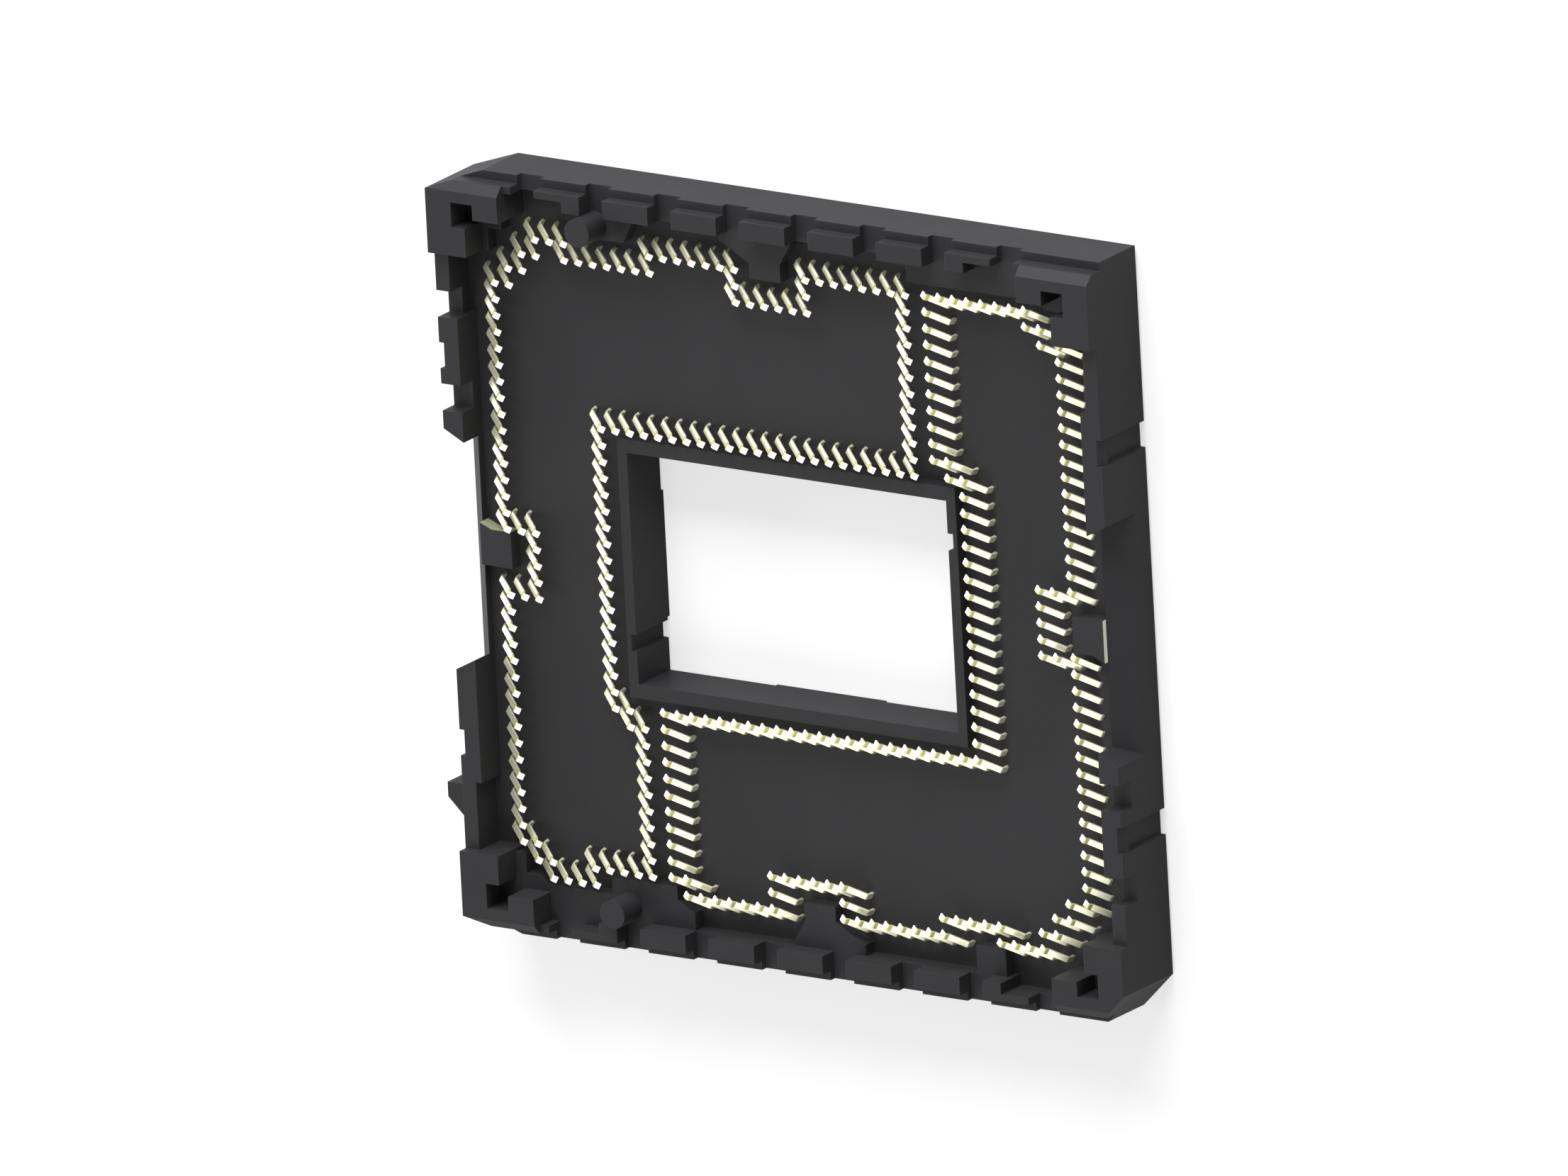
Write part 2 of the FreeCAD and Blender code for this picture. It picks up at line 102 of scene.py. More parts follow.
# Camera: right and up in the picture, the picture's middle in millimetres, distance and clipping in metres
VIEW_RIGHT = (0.82729481, -0.05026266, -0.55951494)
VIEW_UP = (-0.12427062, 0.95493989, -0.26953035)
VIEW_MIDDLE = (-0.167, 0.393, 3.715)
VIEW_DISTANCE = 0.5
VIEW_CLIP_START = 0.01
VIEW_CLIP_END = 5.0


def hex_colour(text):
    """Linear colour of an sRGB hex value."""
    parts = [int(text[i:i + 2], 16) / 255 for i in (1, 3, 5)]
    return tuple(c / 12.92 if c <= 0.04045 else ((c + 0.055) / 1.055) ** 2.4 for c in parts)


def length(name, description, millimetres):
    """A size of the object, kept in metres."""
    return bpy.props.FloatProperty(
        name=name, description=description, default=millimetres * MM,
        subtype="DISTANCE", unit="LENGTH", precision=6,
    )


def colour(name, description, text):
    """A colour of a finish, given as sRGB hex."""
    return bpy.props.FloatVectorProperty(
        name=name, description=description, default=hex_colour(text),
        subtype="COLOR", size=3, min=0, max=1,
    )


def level(name, description, value):
    """A brightness, where 1 on a white face is white."""
    return bpy.props.FloatProperty(name=name, description=description, default=value)


class SocketContactSizes(bpy.types.PropertyGroup):
    """Sizes of one bent spring contact, measured back and down from its tip."""

    skew: bpy.props.FloatProperty(
        name="Skew", description="Turn of each contact away from the rows", default=math.radians(30),
        subtype="ANGLE", unit="ROTATION",
    )
    strip_thickness: length("Strip thickness", "Thickness of the spring strip", 0.10)
    leg_thickness: length("Leg thickness", "Thickness of the leg where it leaves the floor", 0.20)
    leg_slant: length("Leg slant", "Foot of the leg behind its top", 0.09)
    apex_back: length("Apex back", "Pad length in plan, from the tip to the ridge", 0.33)
    knee_back: length("Knee back", "Tip to the inner bend behind the pad", 0.51)
    knee_fall: length("Knee fall", "Ridge down to the inner bend", 0.225)
    root_back: length("Root back", "Tip to the top of the leg", 1.52)
    root_fall: length("Root fall", "Ridge down to the top of the leg", 0.815)
    apex_rise: length("Apex rise", "Tip up to the ridge", 0.155)
    apex_radius: length("Ridge radius", "Bend radius at the ridge of the pad", 0.08)
    knee_radius: length("Knee radius", "Bend radius behind the pad", 0.11)
    root_radius: length("Root radius", "Bend radius at the top of the leg", 0.12)
    edge_break: length("Edge break", "Width of the stamped edge's chamfer", 0.014)
    foot_depth: length("Foot depth", "Length of the leg inside the floor", 0.08)


class SocketFinish(bpy.types.PropertyGroup):
    """Colours of the plastic and of the metals."""

    plastic: colour("Plastic", "Black liquid crystal polymer of the housing", "#262628")
    plastic_bloom: colour("Plastic bloom", "Paler flow marks in the moulded skin", "#2c2c2e")
    strip: colour("Strip", "Plated spring strip", "#f1f0d2")
    # The bend's darker, yellower tone is painted shade for the neighbouring contacts that it reflects and is
    # hidden by.
    bend: colour("Bend", "Darker yellow as painted shade in the bend behind the pad", "#dbd898")
    tip: colour("Tip", "Burnished pad that the package presses on", "#f3f1e4")
    # The two facings are one plate metal in two tones: the left is painted darker as shade, because it faces
    # the key lamp, and the right is painted paler as light for its dim side.
    left_facing_painted_shade: colour("Left facing", "Pale plated facing of the left side key", "#a6a98a")
    right_facing_painted_light: colour("Right facing", "Pale plated facing of the right side key", "#f0f3d6")
    solder: colour("Solder", "Reflowed solder under the contacts", "#c9cacb")
    grain: length("Grain", "Grain of the spark eroded mould, drawn coarser than it is", 0.16)
    edge_round: length("Edge rounding", "Soft rounding seen on the moulded edges", 0.05)


class SocketStage(bpy.types.PropertyGroup):
    """Floor, light and camera."""

    floor: colour("Floor", "Plain pale floor", "#cbcbcc")
    floor_size: length("Floor size", "Side of the square floor", 1600)
    floor_gap: length("Floor gap", "Floor below the lowest faces, so that the two never coincide", 0.01)
    floor_glow: level("Floor glow", "White added to the floor as the camera sees it", 0.56)
    floor_shine: level("Floor shine", "White added to the floor as metal and glass show it", 0.15)
    ambient: level("Ambient", "Even light all round", 0.25)
    key: level("Key", "Brightness of the large lamp behind the object", 8.0)
    fill: level("Fill", "Brightness of the lamp in front", 1.6)
    side: level("Side", "Brightness of the low lamp on the left", 4.0)
    view_width: length("View width", "Width of the camera's view", 83.306)


def add_node(tree, kind, values=None, links=None, **settings):
    """Add a node, set its options and input values, and link sockets to its inputs."""
    node = tree.nodes.new(kind)
    for name, value in settings.items():
        setattr(node, name, value)
    for key, value in (values or {}).items():
        node.inputs[key].default_value = value
    for key, socket in (links or {}).items():
        tree.links.new(socket, node.inputs[key])
    return node


def new_material(name):
    """An empty node material and its output node."""
    material = bpy.data.materials.new(name)
    material.use_nodes = True
    material.node_tree.nodes.clear()
    return material, add_node(material.node_tree, "ShaderNodeOutputMaterial")


def rgba(values):
    """A colour with full opacity, as a socket holds it."""
    return (*values, 1.0)


def per_metre(size):
    """Noise scale for a pattern whose features are this many metres wide."""
    return 1.0 / size


def moulded_lcp(finish):
    """Black liquid crystal polymer, injection moulded in a spark eroded mould.

    To the eye: a deep even grey-black without gloss, a fine dull grain, faint paler flow marks and
    slightly soft edges that catch the light.
    """
    material, output = new_material("moulded_lcp_black")
    tree = material.node_tree
    place = add_node(tree, "ShaderNodeTexCoord").outputs["Object"]
    stretch = add_node(tree, "ShaderNodeMapping", {"Scale": (1.0, 0.45, 1.0)}, {"Vector": place})
    flow = add_node(
        tree, "ShaderNodeTexNoise",
        {"Scale": per_metre(FLOW_MARK), "Detail": 3.0, "Roughness": 0.55, "Distortion": 0.8},
        {"Vector": stretch.outputs["Vector"]},
    )
    grain = add_node(
        tree, "ShaderNodeTexNoise",
        {"Scale": per_metre(finish.grain), "Detail": 2.0, "Roughness": 0.6},
        {"Vector": place},
    )
    tone = add_node(
        tree, "ShaderNodeMix", {6: rgba(finish.plastic), 7: rgba(finish.plastic_bloom)},
        {0: flow.outputs["Fac"]}, data_type="RGBA",
    )
    dullness = add_node(
        tree, "ShaderNodeMapRange",
        {"From Min": NOISE_LOW, "From Max": NOISE_HIGH, "To Min": 0.46, "To Max": 0.54},
        {"Value": flow.outputs["Fac"]},
    )
    edges = add_node(tree, "ShaderNodeBevel", {"Radius": finish.edge_round}, samples=4)
    bump = add_node(
        tree, "ShaderNodeBump", {"Strength": 0.16, "Distance": 0.02 * MM},
        {"Height": grain.outputs["Fac"], "Normal": edges.outputs["Normal"]},
    )
    shader = add_node(
        tree, "ShaderNodeBsdfPrincipled", {"IOR": 1.6, "Specular IOR Level": 0.16},
        {
            "Base Color": tone.outputs[2], "Roughness": dullness.outputs["Result"],
            "Normal": bump.outputs["Normal"],
        },
    )
    tree.links.new(shader.outputs["BSDF"], output.inputs["Surface"])
    return material


def rolled_metal(name, base, metallic, roughness, grain_depth):
    """Plated copper alloy strip, cold rolled and stamped.

    To the eye: a pale warm metal with a satin face, drawn out rolling lines along the strip and small
    changes of gloss where the plating is thinner.  The rolling lines are a few thousandths of a
    millimetre apart, so they are drawn 0.05 mm apart to show at all.
    """
    material, output = new_material(name)
    tree = material.node_tree
    along = add_node(tree, "ShaderNodeUVMap", uv_map=STRIP_MAP).outputs["UV"]
    stretch = add_node(tree, "ShaderNodeMapping", {"Scale": (0.08, 1.0, 1.0)}, {"Vector": along})
    lines = add_node(
        tree, "ShaderNodeTexNoise", {"Scale": 1.0 / ROLLING_LINE, "Detail": 2.0, "Roughness": 0.5},
        {"Vector": stretch.outputs["Vector"]},
    )
    cloud = add_node(
        tree, "ShaderNodeTexNoise", {"Scale": per_metre(PLATING_CLOUD), "Detail": 2.0},
        {"Vector": add_node(tree, "ShaderNodeTexCoord").outputs["Object"]},
    )
    darker = tuple(c * 0.9 for c in base)
    tone = add_node(
        tree, "ShaderNodeMix", {6: rgba(darker), 7: rgba(base)}, {0: cloud.outputs["Fac"]},
        data_type="RGBA",
    )
    gloss = add_node(
        tree, "ShaderNodeMapRange",
        {
            "From Min": NOISE_LOW, "From Max": NOISE_HIGH,
            "To Min": roughness - 0.04, "To Max": roughness + 0.05,
        },
        {"Value": lines.outputs["Fac"]},
    )
    bump = add_node(
        tree, "ShaderNodeBump", {"Strength": grain_depth, "Distance": 0.004 * MM},
        {"Height": lines.outputs["Fac"]},
    )
    shader = add_node(
        tree, "ShaderNodeBsdfPrincipled", {"Metallic": metallic},
        {
            "Base Color": tone.outputs[2], "Roughness": gloss.outputs["Result"],
            "Normal": bump.outputs["Normal"],
        },
    )
    tree.links.new(shader.outputs["BSDF"], output.inputs["Surface"])
    return material


def satin_key_plate(name, base):
    """Nickel silver facing of the side keys, rolled and left satin.

    To the eye: an even pale olive with a soft sheen.
    """
    material, output = new_material(name)
    tree = material.node_tree
    cloud = add_node(
        tree, "ShaderNodeTexNoise", {"Scale": per_metre(FACING_CLOUD), "Detail": 2.0},
        {"Vector": add_node(tree, "ShaderNodeTexCoord").outputs["Object"]},
    )
    darker = tuple(c * 0.86 for c in base)
    tone = add_node(
        tree, "ShaderNodeMix", {6: rgba(darker), 7: rgba(base)}, {0: cloud.outputs["Fac"]},
        data_type="RGBA",
    )
    gloss = add_node(
        tree, "ShaderNodeMapRange",
        {"From Min": NOISE_LOW, "From Max": NOISE_HIGH, "To Min": 0.5, "To Max": 0.6},
        {"Value": cloud.outputs["Fac"]},
    )
    shader = add_node(
        tree, "ShaderNodeBsdfPrincipled", {"Metallic": 0.35},
        {"Base Color": tone.outputs[2], "Roughness": gloss.outputs["Result"]},
    )
    tree.links.new(shader.outputs["BSDF"], output.inputs["Surface"])
    return material


def reflowed_solder(finish):
    """Tin-silver-copper solder, melted and set.

    To the eye: a light grey metal, half bright, with the fine frosting of its crystals.
    """
    material, output = new_material("reflowed_solder")
    tree = material.node_tree
    frost = add_node(
        tree, "ShaderNodeTexNoise", {"Scale": per_metre(SOLDER_CRYSTAL), "Detail": 3.0},
        {"Vector": add_node(tree, "ShaderNodeTexCoord").outputs["Object"]},
    )
    gloss = add_node(
        tree, "ShaderNodeMapRange",
        {"From Min": NOISE_LOW, "From Max": NOISE_HIGH, "To Min": 0.28, "To Max": 0.46},
        {"Value": frost.outputs["Fac"]},
    )
    bump = add_node(
        tree, "ShaderNodeBump", {"Strength": 0.3, "Distance": 0.01 * MM},
        {"Height": frost.outputs["Fac"]},
    )
    shader = add_node(
        tree, "ShaderNodeBsdfPrincipled", {"Base Color": rgba(finish.solder), "Metallic": 1.0},
        {"Roughness": gloss.outputs["Result"], "Normal": bump.outputs["Normal"]},
    )
    tree.links.new(shader.outputs["BSDF"], output.inputs["Surface"])
    return material


def background_rays(tree):
    """Two sockets: 1 for the camera's rays, and 1 for those sent on by metal or glass."""
    light = add_node(tree, "ShaderNodeLightPath")
    sent_on = add_node(
        tree, "ShaderNodeMath", None,
        {0: light.outputs["Is Glossy Ray"], 1: light.outputs["Is Transmission Ray"]},
        operation="MAXIMUM",
    )
    return light.outputs["Is Camera Ray"], sent_on.outputs[0]


def floor_paper(stage):
    """Matt pale backdrop paper.

    To the eye: plain white without gloss, which keeps the soft shadow of the object.
    """
    material, output = new_material("backdrop_paper")
    tree = material.node_tree
    fibre = add_node(
        tree, "ShaderNodeTexNoise", {"Scale": per_metre(PAPER_FIBRE), "Detail": 2.0},
        {"Vector": add_node(tree, "ShaderNodeTexCoord").outputs["Object"]},
    )
    tone = add_node(
        tree, "ShaderNodeMix", {6: rgba(stage.floor), 7: rgba([c * 0.985 for c in stage.floor])},
        {0: fibre.outputs["Fac"]}, data_type="RGBA",
    )
    paper = add_node(tree, "ShaderNodeBsdfDiffuse", None, {"Color": tone.outputs[2]})
    camera, sent_on = background_rays(tree)
    shine = add_node(tree, "ShaderNodeMath", {1: stage.floor_shine}, {0: sent_on}, operation="MULTIPLY")
    glow = add_node(
        tree, "ShaderNodeMath", {1: stage.floor_glow}, {0: camera, 2: shine.outputs[0]},
        operation="MULTIPLY_ADD",
    )
    white = add_node(tree, "ShaderNodeEmission", {"Color": WHITE}, {"Strength": glow.outputs[0]})
    both = add_node(
        tree, "ShaderNodeAddShader", None, {0: paper.outputs["BSDF"], 1: white.outputs["Emission"]}
    )
    tree.links.new(both.outputs["Shader"], output.inputs["Surface"])
    return material


def islands(obj):
    """Vertex places of each separate solid in a node's mesh."""
    mesh = bmesh.new()
    mesh.from_mesh(obj.data)
    bmesh.ops.remove_doubles(mesh, verts=mesh.verts, dist=WELD_DISTANCE)
    seen = set()
    groups = []
    for start in mesh.verts:
        if start in seen:
            continue
        seen.add(start)
        queue = [start]
        places = []
        while queue:
            vert = queue.pop()
            places.append(vert.co.copy())
            for edge in vert.link_edges:
                other = edge.other_vert(vert)
                if other not in seen:
                    seen.add(other)
                    queue.append(other)
        groups.append(places)
    mesh.free()
    return groups


def new_piece(name, mesh, materials):
    """Link a finished bmesh as a piece that rides on the body."""
    data = bpy.data.meshes.new(name)
    bmesh.ops.recalc_face_normals(mesh, faces=mesh.faces)
    for face in mesh.faces:
        face.smooth = True
    mesh.to_mesh(data)
    mesh.free()
    data.set_sharp_from_angle(angle=SMOOTH_ANGLE)
    for material in materials:
        data.materials.append(material)
    piece = bpy.data.objects.new(name, data)
    bpy.context.scene.collection.objects.link(piece)
    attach(piece, BODY)
    return piece


def rounded_path(corners, radii, steps):
    """Stations along a bent line: each corner gets an arc.

    Returns [(place, progress), ...], where progress is n in the middle of the arc at corner n.
    """
    stations = [(corners[0], 0.0)]
    for index in range(1, len(corners) - 1):
        before = (corners[index - 1] - corners[index]).normalized()
        after = (corners[index + 1] - corners[index]).normalized()
        half = before.angle(after) / 2
        reach = radii[index - 1] / math.tan(half)
        centre = corners[index] + (before + after).normalized() * (radii[index - 1] / math.sin(half))
        start = corners[index] + before * reach - centre
        end = corners[index] + after * reach - centre
        sweep = start.angle(end)
        for step in range(steps[index - 1] + 1):
            t = step / steps[index - 1]
            arm = (start * math.sin((1 - t) * sweep) + end * math.sin(t * sweep)) / math.sin(sweep)
            stations.append((centre + arm, index - 0.5 + t))
    stations.append((corners[-1], float(len(corners) - 1)))
    return stations


def offset_corners(corners, distance):
    """A bent line moved sideways by a distance, its corners mitred."""
    normals = []
    for a, b in zip(corners, corners[1:]):
        run = (b - a).normalized()
        normals.append(Vector((-run.y, run.x)))
    moved = [corners[0] + normals[0] * distance]
    for index in range(1, len(corners) - 1):
        mean = (normals[index - 1] + normals[index]).normalized()
        moved.append(corners[index] + mean * (distance / mean.dot(normals[index])))
    moved.append(corners[-1] + normals[-1] * distance)
    return moved


def section(width, thickness, edge):
    """Stamped strip section: a rectangle with its four edges broken."""
    w = width / 2
    t = thickness / 2
    return [
        (-w + edge, t), (w - edge, t), (w, t - edge), (w, -t + edge),
        (w - edge, -t), (-w + edge, -t), (-w, -t + edge), (-w, t - edge),
    ]


def contact_stations(sizes, top, floor):
    """Middle line of a contact in its own plane, from the tip at 0 back to the foot."""
    tip_level = top - sizes.apex_rise
    leg_top = top - sizes.root_fall
    skin = [
        Vector((0, tip_level)),
        Vector((-sizes.apex_back, top)),
        Vector((-sizes.knee_back, top - sizes.knee_fall)),
        Vector((-sizes.root_back, leg_top)),
        Vector((-sizes.root_back - sizes.leg_slant, floor - sizes.foot_depth)),
    ]
    middle = offset_corners(skin, sizes.strip_thickness / 2)
    middle[-1].x = skin[-1].x + sizes.leg_thickness / 2
    radii = [sizes.apex_radius, sizes.knee_radius, sizes.root_radius]
    return rounded_path(middle, radii, ARC_STEPS)


def add_contact(mesh, uv, place, along, across, width, sizes, top, floor):
    """Sweep one contact into the mesh.  place is its tip in plan."""
    stations = contact_stations(sizes, top, floor)
    start, first = stations[0]
    inset = (stations[1][0] - start).normalized() * sizes.edge_break
    stations = [(start, first), (start + inset, first)] + stations[1:]
    rings = []
    travelled = 0.0
    lengths = []
    last = len(stations) - 1
    for index, (point, _) in enumerate(stations):
        ahead = stations[min(index + 1, last)][0]
        behind = stations[max(index - 1, 0)][0]
        run = (ahead - behind).normalized()
        normal = Vector((run.y, -run.x))
        thickness = sizes.leg_thickness if index == last else sizes.strip_thickness
        shrink = sizes.edge_break if index == 0 else 0.0
        if index:
            travelled += (point - stations[index - 1][0]).length
        lengths.append(travelled)
        edge = sizes.edge_break * (TIP_BREAK if shrink else 1)
        ring = []
        for w, t in section(width - 2 * shrink, thickness - 2 * shrink, edge):
            flat = point + normal * t
            ring.append(mesh.verts.new(place + along * flat.x + across * w + Vector((0, 0, flat.y))))
        rings.append(ring)
    count = len(rings[0])
    for index, (near, far) in enumerate(zip(rings, rings[1:])):
        progress = (stations[index][1] + stations[index + 1][1]) / 2
        # Faces between the ridge and the knee get the bend finish, whose darker tone is painted shade.
        finish = PAD if progress < RIDGE else BEND if progress < KNEE else STRIP
        for k in range(count):
            n = (k + 1) % count
            face = mesh.faces.new((near[k], near[n], far[n], far[k]))
            face.material_index = finish
            for loop, (u, v) in zip(face.loops, ((0, k), (0, k + 1), (1, k + 1), (1, k))):
                loop[uv].uv = (lengths[index + u] / MM, v * width / MM / FACES_ACROSS)
    for ring, finish in ((rings[0], PAD), (list(reversed(rings[-1])), STRIP)):
        cap = mesh.faces.new(ring)
        cap.material_index = finish


def field_axes(node, sizes):
    """Plan direction towards the tip, and across the strip, of a field's contacts."""
    side = 1 if "_left_" in node else -1
    along = Vector((math.cos(sizes.skew), -math.sin(sizes.skew), 0)) * side
    across = Vector((math.sin(sizes.skew), math.cos(sizes.skew), 0)) * side
    return along, across


def contact_nodes():
    """Names of the frame's nodes that hold contacts."""
    return sorted(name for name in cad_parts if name.startswith(CONTACT_PREFIX))


class SOCKET_OT_stage(bpy.types.Operator):
    """Set up the floor, the world, the lamps and the camera"""

    bl_idname = "socket.stage"
    bl_label = "Studio Stage"

    def execute(self, context):
        stage = context.scene.socket_stage
        self.floor(stage)
        self.world(context, stage)
        self.lamps(context, stage)
        self.camera(context, stage)
        context.scene.view_settings.view_transform = "Standard"
        return {"FINISHED"}

    def floor(self, stage):
        """Large square of paper just under the object."""
        half = stage.floor_size / 2
        mesh = bmesh.new()
        outline = ((-half, -half), (half, -half), (half, half), (-half, half))
        mesh.faces.new([mesh.verts.new((x, y, -stage.floor_gap)) for x, y in outline])
        data = bpy.data.meshes.new("floor")
        mesh.to_mesh(data)
        mesh.free()
        data.materials.append(floor_paper(stage))
        piece = bpy.data.objects.new("floor", data)
        bpy.context.scene.collection.objects.link(piece)

    def world(self, context, stage):
        """White to the camera and in reflections, softer as light."""
        world = bpy.data.worlds.new("studio")
        world.use_nodes = True
        tree = world.node_tree
        tree.nodes.clear()
        camera, sent_on = background_rays(tree)
        seen = add_node(tree, "ShaderNodeMath", None, {0: camera, 1: sent_on}, operation="MAXIMUM")
        soft = add_node(tree, "ShaderNodeBackground", {"Color": WHITE, "Strength": stage.ambient})
        white = add_node(tree, "ShaderNodeBackground", {"Color": WHITE, "Strength": 1.0})
        mix = add_node(
            tree, "ShaderNodeMixShader", None,
            {0: seen.outputs[0], 1: soft.outputs["Background"], 2: white.outputs["Background"]},
        )
        add_node(tree, "ShaderNodeOutputWorld", None, {"Surface": mix.outputs["Shader"]})
        context.scene.world = world

    def lamps(self, context, stage):
        """Soft boxes that face the object, as bright as the stage's setting of the same name."""
        for name, direction, distance, width, height in SOFT_BOXES:
            lamp = bpy.data.lights.new(name, "AREA")
            lamp.shape = "RECTANGLE"
            lamp.size = width
            lamp.size_y = height
            lamp.energy = getattr(stage, name) * math.pi * width * height
            towards = Vector(direction).normalized()
            obj = bpy.data.objects.new(name, lamp)
            obj.location = towards * distance
            obj.rotation_euler = towards.to_track_quat("Z", "Y").to_euler()
            context.scene.collection.objects.link(obj)

    def camera(self, context, stage):
        """Parallel view from the right, above and a little behind the upper edge."""
        right = Vector(VIEW_RIGHT)
        up = Vector(VIEW_UP)
        back = right.cross(up)
        place = Vector(VIEW_MIDDLE) * MM + back * VIEW_DISTANCE
        data = bpy.data.cameras.new("camera")
        data.type = "ORTHO"
        data.ortho_scale = stage.view_width
        data.clip_start = VIEW_CLIP_START
        data.clip_end = VIEW_CLIP_END
        camera = bpy.data.objects.new("camera", data)
        turn = Matrix((right, up, back)).transposed().to_4x4()
        camera.matrix_world = Matrix.Translation(place) @ turn
        context.scene.collection.objects.link(camera)
        context.scene.camera = camera


class SOCKET_OT_housing_finish(bpy.types.Operator):
    """Give the moulded housing its plastic"""

    bl_idname = "socket.housing_finish"
    bl_label = "Housing Finish"

    def execute(self, context):
        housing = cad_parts[HOUSING]
        housing.data.materials.clear()
        housing.data.materials.append(moulded_lcp(context.scene.socket_finish))
        return {"FINISHED"}


class SOCKET_OT_contacts(bpy.types.Operator):
    """Replace each group of plain contacts with rounded, plated ones"""

    bl_idname = "socket.contacts"
    bl_label = "Spring Contacts"

    def execute(self, context):
        sizes = context.scene.socket_contacts
        finish = context.scene.socket_finish
        strip = rolled_metal(
            "nickel_plated_spring_strip", tuple(finish.strip), metallic=0.55, roughness=0.36, grain_depth=0.25
        )
        tip = rolled_metal(
            "burnished_contact_pad", tuple(finish.tip), metallic=0.6, roughness=0.30, grain_depth=0.2
        )
        # Bend metal: the strip's metal with a darker, yellower tone painted in as shade from the neighbouring
        # contacts.
        bend = rolled_metal(
            "bend_painted_shade", tuple(finish.bend), metallic=0.45, roughness=0.36, grain_depth=0.2
        )
        names = contact_nodes()
        if not names:
            raise RuntimeError("the frame has no contact nodes")
        for name in names:
            self.group(name, sizes, (strip, tip, bend))
        return {"FINISHED"}

    def group(self, name, sizes, materials):
        """One piece with the rounded contacts of a node, each where its plain one stands."""
        along, across = field_axes(name, sizes)
        mesh = bmesh.new()
        uv = mesh.loops.layers.uv.new(STRIP_MAP)
        for places in islands(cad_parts[name]):
            reach = [p.dot(along) for p in places]
            breadth = [p.dot(across) for p in places]
            levels = [p.z for p in places]
            middle = (min(breadth) + max(breadth)) / 2
            width = max(breadth) - min(breadth)
            tip = along * max(reach) + across * middle
            add_contact(mesh, uv, tip, along, across, width, sizes, max(levels), min(levels))
        piece_name = name.replace(CONTACT_PREFIX, "spring_contacts_")
        piece = new_piece(piece_name, mesh, materials)
        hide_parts(name)


class SOCKET_OT_key_faces(bpy.types.Operator):
    """Add the pale facings of the two side keys"""

    bl_idname = "socket.key_faces"
    bl_label = "Key Faces"

    def execute(self, context):
        finish = context.scene.socket_finish
        # Left facing gets the painted shade tone, right facing the painted light tone, of one and the same
        # plate metal.
        for name, line, foot, base in (
            ("key_face_left", LEFT_FACING, LEFT_FACING_FOOT, finish.left_facing_painted_shade),
            ("key_face_right", RIGHT_FACING, RIGHT_FACING_FOOT, finish.right_facing_painted_light),
        ):
            mesh = bmesh.new()
            self.plate(mesh, [Vector(p) * MM for p in line], foot * MM, FACING_TOP * MM)
            material = satin_key_plate(name.replace("key_face", "satin_nickel_silver"), tuple(base))
            new_piece(name, mesh, (material,))
        return {"FINISHED"}

    def plate(self, mesh, line, low, high):
        """Thin facing along a plan line, let into the key behind it."""
        proud = offset_corners(line, -FACING_PROUD * MM)
        back = offset_corners(line, FACING_LET_IN * MM)
        front_top = high - FACING_BEVEL * MM
        back_top = high + FACING_RISE * MM
        rows = []
        for points, z in ((back, low), (proud, low), (proud, front_top), (back, back_top)):
            rows.append([mesh.verts.new((p.x, p.y, z)) for p in points])
        for a, b in zip(rows, rows[1:] + rows[:1]):
            for k in range(len(line) - 1):
                mesh.faces.new((a[k], a[k + 1], b[k + 1], b[k]))
        for k in (0, -1):
            mesh.faces.new([row[k] for row in rows])


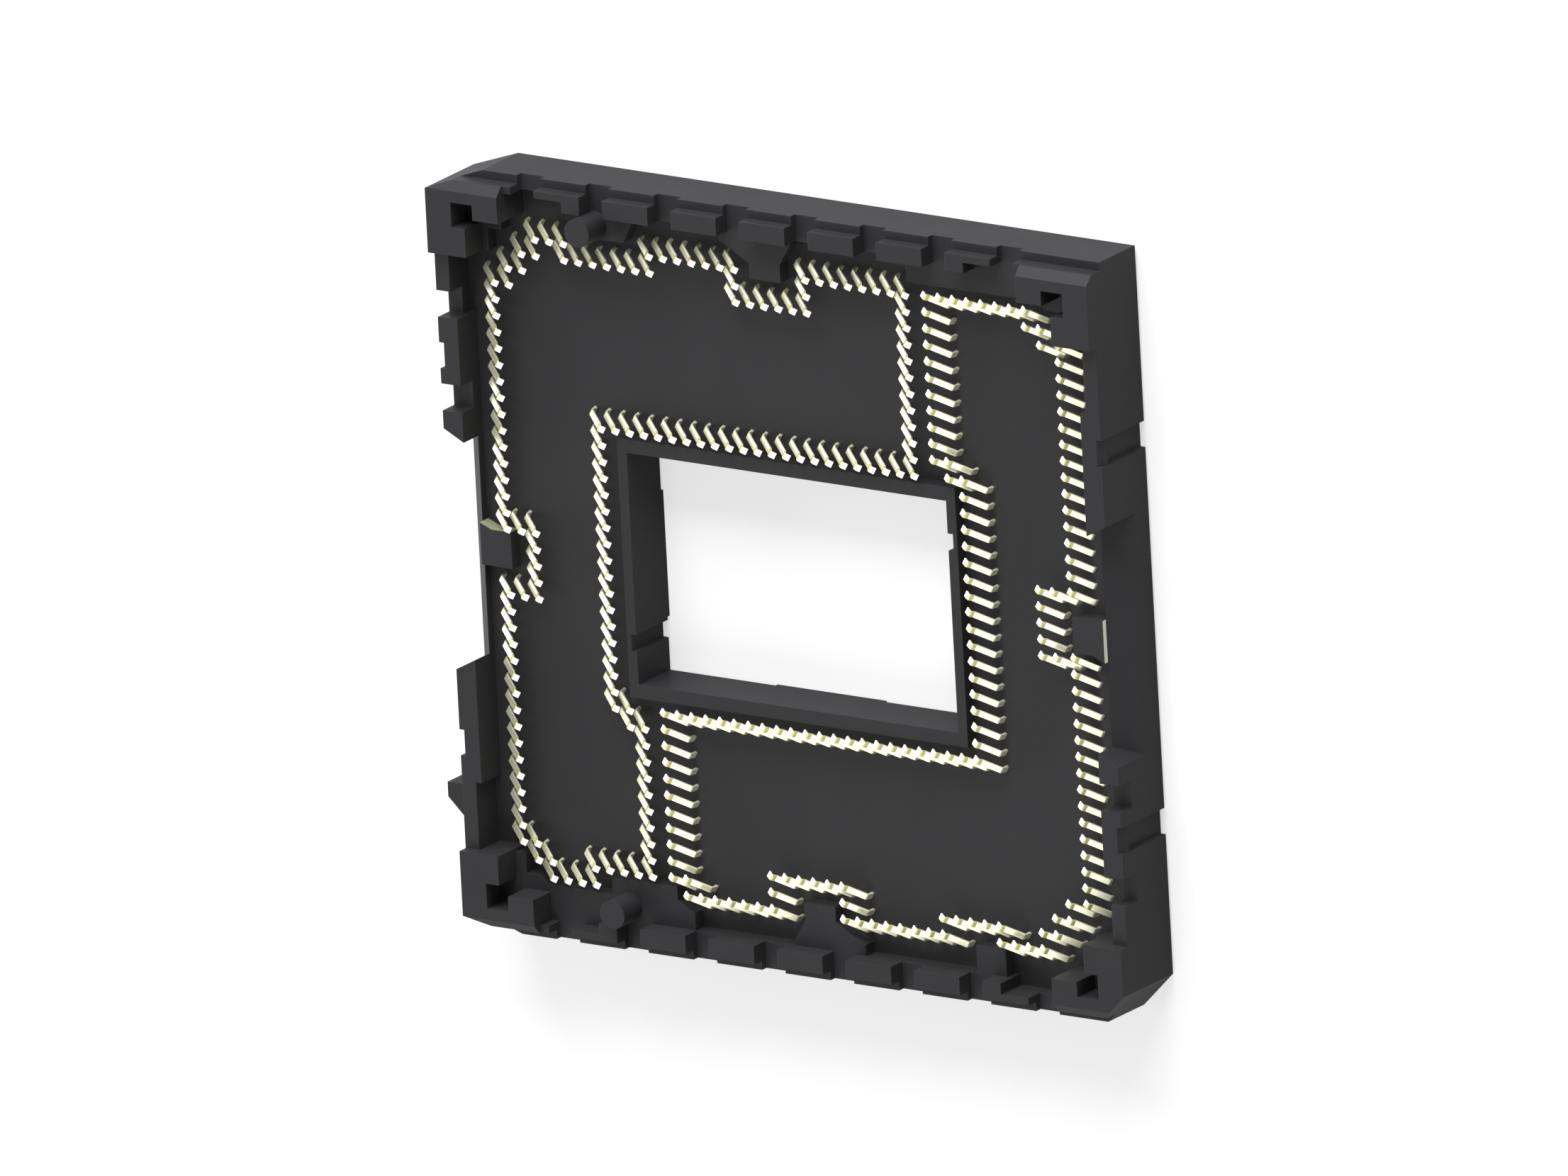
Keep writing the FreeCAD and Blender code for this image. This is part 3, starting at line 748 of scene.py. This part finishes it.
class SOCKET_OT_solder_joints(bpy.types.Operator):
    """Add the set solder under the contacts"""

    bl_idname = "socket.solder_joints"
    bl_label = "Solder Joints"

    def execute(self, context):
        mesh = bmesh.new()
        pad_start = CORNER_PAD_START * MM
        for name in contact_nodes():
            for places in islands(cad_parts[name]):
                x = (min(p.x for p in places) + max(p.x for p in places)) / 2
                y = (min(p.y for p in places) + max(p.y for p in places)) / 2
                if abs(x) < pad_start or abs(y) < pad_start:
                    self.barrel(mesh, x, y)
        solder = reflowed_solder(context.scene.socket_finish)
        new_piece("solder_joints", mesh, (solder,))
        return {"FINISHED"}

    def barrel(self, mesh, x, y):
        """Squat drop between the housing's underside and the board."""
        turns = [math.tau * k / SOLDER_SIDES for k in range(SOLDER_SIDES)]
        rings = []
        for radius, z in SOLDER_PROFILE:
            rings.append([
                mesh.verts.new((x + radius * MM * math.cos(a), y + radius * MM * math.sin(a), z * MM))
                for a in turns
            ])
        for a, b in zip(rings, rings[1:]):
            for k in range(SOLDER_SIDES):
                n = (k + 1) % SOLDER_SIDES
                mesh.faces.new((a[k], a[n], b[n], b[k]))
        mesh.faces.new(list(reversed(rings[0])))
        mesh.faces.new(rings[-1])


class SOCKET_PT_panel(bpy.types.Panel):
    """Pieces and finishes of the socket"""

    bl_label = "IC Socket"
    bl_idname = "SOCKET_PT_panel"
    bl_space_type = "VIEW_3D"
    bl_region_type = "UI"
    bl_category = "IC Socket"

    def draw(self, context):
        layout = self.layout
        for operator in OPERATORS:
            layout.operator(operator.bl_idname)
        for owner, _ in SETTINGS:
            settings = getattr(context.scene, owner)
            box = layout.box()
            for name in settings.__annotations__:
                box.prop(settings, name)


OPERATORS = (
    SOCKET_OT_stage,
    SOCKET_OT_housing_finish,
    SOCKET_OT_contacts,
    SOCKET_OT_key_faces,
    SOCKET_OT_solder_joints,
)
SETTINGS = (
    ("socket_contacts", SocketContactSizes),
    ("socket_finish", SocketFinish),
    ("socket_stage", SocketStage),
)


def register():
    for name, settings in SETTINGS:
        bpy.utils.register_class(settings)
        setattr(bpy.types.Scene, name, bpy.props.PointerProperty(type=settings))
    for operator in OPERATORS:
        bpy.utils.register_class(operator)
    bpy.utils.register_class(SOCKET_PT_panel)


def unregister():
    bpy.utils.unregister_class(SOCKET_PT_panel)
    for operator in reversed(OPERATORS):
        bpy.utils.unregister_class(operator)
    for name, settings in reversed(SETTINGS):
        delattr(bpy.types.Scene, name)
        bpy.utils.unregister_class(settings)


def main():
    register()
    bpy.ops.socket.stage()
    bpy.ops.socket.housing_finish()
    bpy.ops.socket.contacts()
    bpy.ops.socket.key_faces()
    bpy.ops.socket.solder_joints()


if __name__ == "__main__":
    main()
